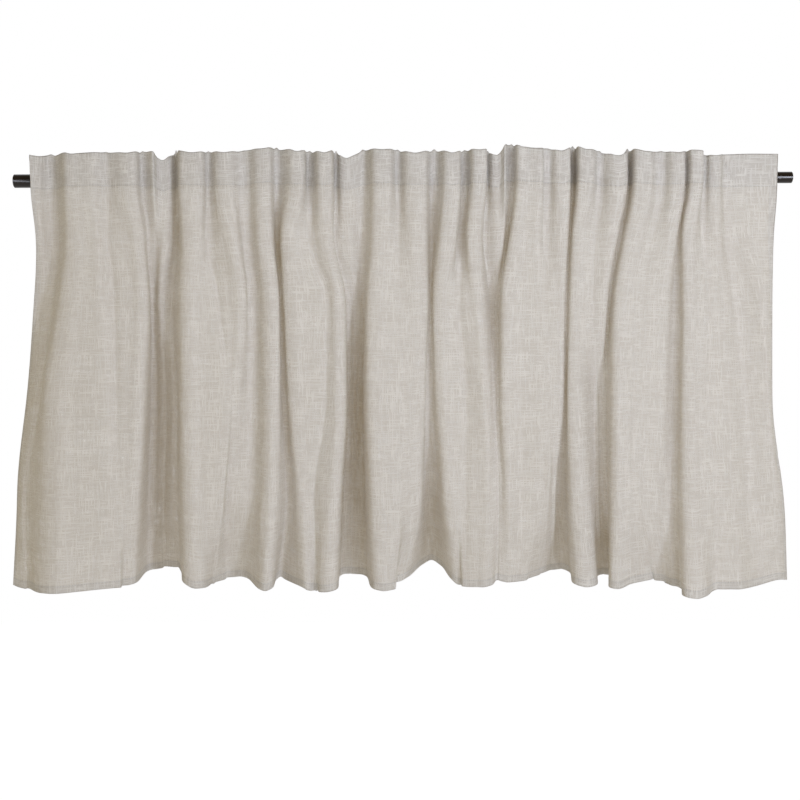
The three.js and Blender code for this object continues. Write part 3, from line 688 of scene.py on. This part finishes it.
class Nodes:
    """Short names for building one material's node tree."""

    def __init__(self, name):
        self.material = bpy.data.materials.new(name)
        self.material.use_nodes = True
        self.tree = self.material.node_tree
        self.tree.nodes.clear()

    def node(self, kind, inputs=(), **settings):
        made = self.tree.nodes.new(kind)
        for key, value in settings.items():
            setattr(made, key, value)
        for key, value in dict(inputs).items():
            self.give(made.inputs[key], value)
        return made

    def give(self, socket, value):
        if isinstance(value, bpy.types.NodeSocket):
            self.tree.links.new(value, socket)
        else:
            socket.default_value = value

    def maths(self, operation, a, b=0.0):
        made = self.node("ShaderNodeMath", operation=operation)
        self.give(made.inputs[0], a)
        self.give(made.inputs[1], b)
        return made.outputs[0]

    def stretch(self, value, low, high, to_low=0.0, to_high=1.0):
        """value from low..high to to_low..to_high, eased and held between them."""
        made = self.node("ShaderNodeMapRange", interpolation_type="SMOOTHSTEP")
        for key, number in zip(
            ("Value", "From Min", "From Max", "To Min", "To Max"),
            (value, low, high, to_low, to_high),
        ):
            self.give(made.inputs[key], number)
        return made.outputs["Result"]

    def noise(self, x, y):
        """Smooth noise at two coordinates, about 0 to 1 and mostly near a half."""
        place = self.node("ShaderNodeCombineXYZ", {"X": x, "Y": y})
        made = self.node(
            "ShaderNodeTexNoise",
            {"Vector": place.outputs[0], "Scale": 1.0, "Detail": 0.0},
            noise_dimensions="2D",
        )
        return made.outputs["Fac"]

    def mix(self, share, first, second):
        made = self.node("ShaderNodeMix", data_type="RGBA")
        self.give(made.inputs[0], share)
        self.give(made.inputs[6], first)
        self.give(made.inputs[7], second)
        return made.outputs[2]

    def shader_mix(self, share, first, second):
        made = self.node("ShaderNodeMixShader", {0: share})
        self.give(made.inputs[1], first)
        self.give(made.inputs[2], second)
        return made.outputs[0]

    def finish(self, surface):
        out = self.node("ShaderNodeOutputMaterial")
        self.give(out.inputs["Surface"], surface)
        return self.material


def yarns(n, across, along, seed):
    """One set of yarns over the flat cloth, whose places across and along are in metres.

    Gives each place's yarn number, how far it is from that yarn's middle as a share of the pitch,
    how thick the yarn is there, and how wide the gap beside it."""
    sway_across, sway_along = SWAY_PER_METRE
    sway = n.noise(n.maths("MULTIPLY", across, sway_across), n.maths("MULTIPLY", along, sway_along))
    count = n.maths("DIVIDE", across, YARN_PITCH)
    count = n.maths("ADD", count, n.maths("MULTIPLY", sway, SWAY))
    number = n.maths("FLOOR", count)
    off = n.maths("ABSOLUTE", n.maths("SUBTRACT", n.maths("FRACT", count), 0.5))
    own = n.maths("ADD", n.maths("MULTIPLY", number, SLUB_STEP), seed)
    slub = n.noise(own, n.maths("MULTIPLY", along, SLUBS_PER_METRE))
    near = n.maths("ADD", n.maths("MULTIPLY", number, GAP_STEP), seed)
    gap = n.noise(near, n.maths("MULTIPLY", along, GAPS_PER_METRE))
    return number, off, slub, gap


def covering(n, across, along, seed, cover, gaps):
    """One set of yarns: each place's yarn number, whether that yarn covers it, and how high and how
    thick the yarn is there."""
    number, off, slub, gap = yarns(n, across, along, seed)
    thick = n.stretch(slub, *SLUB_RANGE)
    wide = n.maths("ADD", n.maths("MULTIPLY", thick, SLUB_SWELL), cover)
    wide = n.maths("SUBTRACT", wide, n.stretch(gap, *GAP_RANGE, 0.0, gaps))
    half = n.maths("MULTIPLY", wide, 0.5)
    covered = n.stretch(n.maths("SUBTRACT", half, off), -YARN_EDGE, YARN_EDGE)
    round_top = n.maths("SUBTRACT", 1.0, n.maths("POWER", n.maths("DIVIDE", off, half), 2.0))
    return number, covered, n.maths("MAXIMUM", round_top, 0.0), thick


def woven(n, warp_set, weft_set):
    """The plain weave of two sets of yarns: its height, where it is solid, and its slubs."""
    i, warp, warp_top, warp_thick = warp_set
    j, weft, weft_top, weft_thick = weft_set
    over = n.maths("FLOORED_MODULO", n.maths("ADD", i, j), 2.0)
    under = n.maths("SUBTRACT", 1.0, over)
    warp_height = n.maths("MULTIPLY", warp, n.maths("ADD", warp_top, over))
    weft_height = n.maths("MULTIPLY", weft, n.maths("ADD", weft_top, under))
    height = n.maths("MAXIMUM", warp_height, weft_height)
    solid = n.maths("MAXIMUM", warp, weft)
    warp_slubs = n.maths("MULTIPLY", warp_thick, warp)
    weft_slubs = n.maths("MULTIPLY", weft_thick, weft)
    return height, solid, n.maths("MAXIMUM", warp_slubs, weft_slubs)


def doubled(n, u, v, size):
    """1 where the cloth lies double: its heading, its lower hem and its side hems."""
    middle = size.width / 2
    from_middle = n.maths("ABSOLUTE", n.maths("SUBTRACT", u, middle))
    side = n.maths("LESS_THAN", n.maths("SUBTRACT", middle, from_middle), SIDE_HEM_DEPTH * MM)
    hem = n.maths("LESS_THAN", v, HEM_DEPTH * MM)
    top = n.maths("GREATER_THAN", v, size.heading)
    return n.maths("MAXIMUM", n.maths("MAXIMUM", side, hem), top)


def painted_seam_shade(n, u, v, size):
    """How much painted shade darkens the cloth where stitches pinch it, and where its upper edge rolls
    over.
    """
    hem_line = (HEM_DEPTH - HEM_STITCH_INSET) * MM
    rows = [
        n.maths("LESS_THAN", n.maths("ABSOLUTE", n.maths("SUBTRACT", v, line)), PINCH_REACH * MM)
        for line in (size.heading, hem_line)
    ]
    along = n.maths("FLOORED_MODULO", u, STITCH_PITCH * MM)
    hole = n.maths("GREATER_THAN", along, STITCH_LENGTH * MM / 2)
    near = n.maths("MAXIMUM", *rows)
    painted_pinch = n.maths("MULTIPLY", near, n.stretch(hole, 0, 1, STITCH_PAINTED_SHADE, PINCH_PAINTED_SHADE))
    rim = n.maths("GREATER_THAN", v, size.top - RIM_REACH * MM)
    return n.maths("MAXIMUM", painted_pinch, n.maths("MULTIPLY", rim, RIM_PAINTED_SHADE))


def cloth_material(name, ground, slubbed, cover, gaps, translucency, size=None):
    """Plain weave of uneven yarns: open between them, with a bump that follows them. With a size, the
    cloth also lets less light through where it is double, and has painted shade along its stitch lines
    and its rolled upper edge."""
    n = Nodes(name)
    split = n.node("ShaderNodeSeparateXYZ", {0: n.node("ShaderNodeUVMap", uv_map="flat").outputs[0]})
    u, v = split.outputs[0], split.outputs[1]
    if size:
        loss = n.maths("MULTIPLY", doubled(n, u, v, size), translucency * DOUBLED_LOSS)
        translucency = n.maths("SUBTRACT", translucency, loss)
    across, up = PATCHES_PER_METRE
    patch = n.noise(n.maths("MULTIPLY", u, across), n.maths("MULTIPLY", v, up))
    lively = n.stretch(patch, *PATCH_RANGE, PATCH_LEAST, 1.0)
    warp = covering(n, u, v, WARP_SEED, cover, gaps)
    weft = covering(n, v, u, WEFT_SEED, cover, gaps)
    height, solid, slubs = woven(n, warp, weft)
    bump = n.node(
        "ShaderNodeBump", {"Strength": BUMP_STRENGTH, "Distance": BUMP_DISTANCE, "Height": height}
    )
    tint = n.mix(n.maths("MULTIPLY", slubs, lively), (*ground, 1), (*slubbed, 1))
    if size:
        # painted shade: the colour is darkened along the stitch lines and at the rolled upper edge
        dark = (*(PAINTED_SHADE_KEEP * part for part in ground), 1)
        tint = n.mix(painted_seam_shade(n, u, v, size), tint, dark)
    body = n.node(
        "ShaderNodeBsdfPrincipled",
        {"Base Color": tint, "Roughness": 0.85, "Specular IOR Level": 0.2,
         "Sheen Weight": 0.08, "Sheen Roughness": 0.5, "Normal": bump.outputs[0]},
    )
    warm = n.mix(n.maths("MULTIPLY", slubs, SLUB_PALER), (*SHINE_THROUGH, 1), (*slubbed, 1))
    through = n.node("ShaderNodeBsdfTranslucent", {"Color": warm})
    cloth = n.shader_mix(translucency, body.outputs[0], through.outputs[0])
    clear = n.node("ShaderNodeBsdfTransparent")
    return n.finish(n.shader_mix(solid, clear.outputs[0], cloth))


def plain_material(name, colour, roughness, metallic=0.0, **more):
    """A surface whose colour and roughness vary a little from place to place."""
    n = Nodes(name)
    place = n.node("ShaderNodeTexCoord").outputs["Object"]
    cloud = n.node(
        "ShaderNodeTexNoise", {"Vector": place, "Scale": CLOUD_SCALE, "Detail": CLOUD_DETAIL}
    )
    share = n.stretch(cloud.outputs["Fac"], *CLOUD_RANGE)
    dark = tuple(CLOUD_LEAST * part for part in colour)
    body = n.node(
        "ShaderNodeBsdfPrincipled",
        {"Base Color": n.mix(share, (*dark, 1), (*colour, 1)),
         "Roughness": n.stretch(share, 0, 1, roughness * CLOUD_LEAST, roughness),
         "Metallic": metallic, **more},
    )
    return n.finish(body.outputs[0])


# --- The valance -----------------------------------------------------------------------------------

cloth = Cloth()
size = FlatSize(
    cloth.width * MM, (TOP_HEIGHT - HEIGHTS[-1]) * MM, (SEAM_HEIGHT - HEIGHTS[-1]) * MM
)
linen = cloth_material(
    "slub linen", LINEN, LINEN_SLUB, cover=0.86, gaps=0.4, translucency=0.2, size=size
)
tape_linen = cloth_material(
    "woven tape", TAPE_LINEN, LINEN_SLUB, cover=0.97, gaps=0.0, translucency=0.25
)
thread = plain_material("sewing thread", LINEN_SLUB, 0.6)
bronze = plain_material("dark bronze paint", BRONZE, 0.09, **{"Specular IOR Level": 0.3})

valance = make_cloth(cloth)
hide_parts("valance_panel")
tape = make_tape(cloth)
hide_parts("heading_tape")
stitches = make_stitches("seam_stitches", seam_lines(cloth))
loops = make_loops(cloth)
outer_tube = make_tube("outer_tube", "rod_outer_tube", SOCKET_DEPTH)
inner_tube = make_tube("inner_tube", "rod_inner_tube")

for piece, material, slot in (
    (valance, linen, "cloth"),
    (tape, tape_linen, "tape"),
    (stitches, thread, "cloth"),
    *((loop, tape_linen, "tape") for loop in loops),
    (outer_tube, bronze, "rod"),
    (inner_tube, bronze, "rod"),
):
    piece.data.materials.append(material)
    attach(piece, BODY)

# --- Floor, light and camera -----------------------------------------------------------------------

FLOOR_HEIGHT = -1.3
FLOOR_SIDE = 6.0
FLOOR_GLOW = 0.8  # how much of the floor that is seen is plain white; the rest takes the shadow
FLOOR_WHITE = 1.2

BACKDROP_FROM = 0.1  # the least +Y part of the way of a ray that meets the backdrop

SKY = (1.0, 0.89, 0.67)
SKY_STRENGTH = 0.4

# The lamps: where each one is and what it points at, its width and height, in metres, and its watts.
Lamp = namedtuple("Lamp", "name place target size power")

LAMPS = (
    Lamp("key", (0.65, -1.75, 0.3), (0.25, 0, -0.28), (0.9, 0.9), 12.2),
    Lamp("right strip", (1.44, -2.6, -0.45), (0.1, 0, -0.3), (0.06, 1.9), 10),
    Lamp("left strip", (-1.44, -2.6, -0.45), (-0.1, 0, -0.3), (0.06, 1.9), 4),
)
COOL = (0.93, 0.98, 1.12)

CAMERA_LENS = 50
CAMERA_SENSOR = 36
CAMERA_PLACE = (-0.0056, -1.565, -0.2714)
CAMERA_SHIFT = -0.035  # the frame sits a little below the camera's own height
CAMERA_ROLL = math.radians(-0.28)


def make_floor():
    half = FLOOR_SIDE / 2 / MM
    corners = [(-half, -half, 0), (half, -half, 0), (half, half, 0), (-half, half, 0)]
    floor = make_object("floor", corners, [(0, 1, 2, 3)])
    floor.location.z = FLOOR_HEIGHT
    n = Nodes("pale floor")
    matt = n.node("ShaderNodeBsdfDiffuse", {"Color": (0.9, 0.9, 0.9, 1)})
    white = n.node("ShaderNodeEmission", {"Color": (1, 1, 1, 1), "Strength": FLOOR_WHITE})
    share = n.maths("MULTIPLY", white_where_seen(n.tree), FLOOR_GLOW)
    floor.data.materials.append(n.finish(n.shader_mix(share, matt.outputs[0], white.outputs[0])))


def make_lamp(lamp):
    data = bpy.data.lights.new(lamp.name, "AREA")
    data.shape = "RECTANGLE"
    data.size, data.size_y = lamp.size
    data.energy = lamp.power
    data.color = COOL
    made = bpy.data.objects.new(lamp.name, data)
    made.location = lamp.place
    way = Vector(lamp.target) - Vector(lamp.place)
    made.rotation_euler = way.to_track_quat("-Z", "Y").to_euler()
    bpy.context.scene.collection.objects.link(made)


def white_where_seen(tree, glossy=None):
    """1 for a ray whose end is seen: by the camera, in a gloss, or through something clear."""
    path = tree.nodes.new("ShaderNodeLightPath")
    glossy = glossy or path.outputs["Is Glossy Ray"]
    most = path.outputs["Is Camera Ray"]
    clear = tree.nodes.new("ShaderNodeMath")
    clear.operation = "SUBTRACT"
    clear.use_clamp = True
    tree.links.new(path.outputs["Is Transmission Ray"], clear.inputs[0])
    tree.links.new(path.outputs["Is Diffuse Ray"], clear.inputs[1])
    for other in (glossy, clear.outputs[0]):
        larger = tree.nodes.new("ShaderNodeMath")
        larger.operation = "MAXIMUM"
        tree.links.new(most, larger.inputs[0])
        tree.links.new(other, larger.inputs[1])
        most = larger.outputs[0]
    return most


def backdrop_in_gloss(tree):
    """1 for a glossy ray that leaves towards the backdrop behind the valance, +Y."""
    path = tree.nodes.new("ShaderNodeLightPath")
    way = tree.nodes.new("ShaderNodeSeparateXYZ")
    tree.links.new(tree.nodes.new("ShaderNodeTexCoord").outputs["Generated"], way.inputs[0])
    behind = tree.nodes.new("ShaderNodeMath")
    behind.operation = "GREATER_THAN"
    tree.links.new(way.outputs["Y"], behind.inputs[0])
    behind.inputs[1].default_value = BACKDROP_FROM
    both = tree.nodes.new("ShaderNodeMath")
    both.operation = "MULTIPLY"
    tree.links.new(behind.outputs[0], both.inputs[0])
    tree.links.new(path.outputs["Is Glossy Ray"], both.inputs[1])
    return both.outputs[0]


def make_world():
    """A plain studio: soft light from all round, and plain white wherever it is seen."""
    world = bpy.data.worlds.new("studio")
    world.use_nodes = True
    tree = world.node_tree
    tree.nodes.clear()
    light, white = (tree.nodes.new("ShaderNodeBackground") for _ in range(2))
    light.inputs["Color"].default_value = (*SKY, 1)
    light.inputs["Strength"].default_value = SKY_STRENGTH
    white.inputs["Color"].default_value = (1, 1, 1, 1)
    mix = tree.nodes.new("ShaderNodeMixShader")
    out = tree.nodes.new("ShaderNodeOutputWorld")
    tree.links.new(white_where_seen(tree, backdrop_in_gloss(tree)), mix.inputs[0])
    tree.links.new(light.outputs[0], mix.inputs[1])
    tree.links.new(white.outputs[0], mix.inputs[2])
    tree.links.new(mix.outputs[0], out.inputs["Surface"])
    bpy.context.scene.world = world


def make_camera():
    data = bpy.data.cameras.new("camera")
    data.lens = CAMERA_LENS
    data.sensor_width = CAMERA_SENSOR
    data.shift_y = CAMERA_SHIFT
    camera = bpy.data.objects.new("camera", data)
    camera.location = CAMERA_PLACE
    aim = Matrix.Rotation(math.pi / 2, 3, "X")
    roll = Matrix.Rotation(CAMERA_ROLL, 3, "Z")
    camera.rotation_euler = (aim @ roll).to_euler()
    bpy.context.scene.collection.objects.link(camera)
    bpy.context.scene.camera = camera


make_floor()
make_world()
for lamp in LAMPS:
    make_lamp(lamp)
make_camera()

bpy.context.scene.view_settings.view_transform = "Standard"
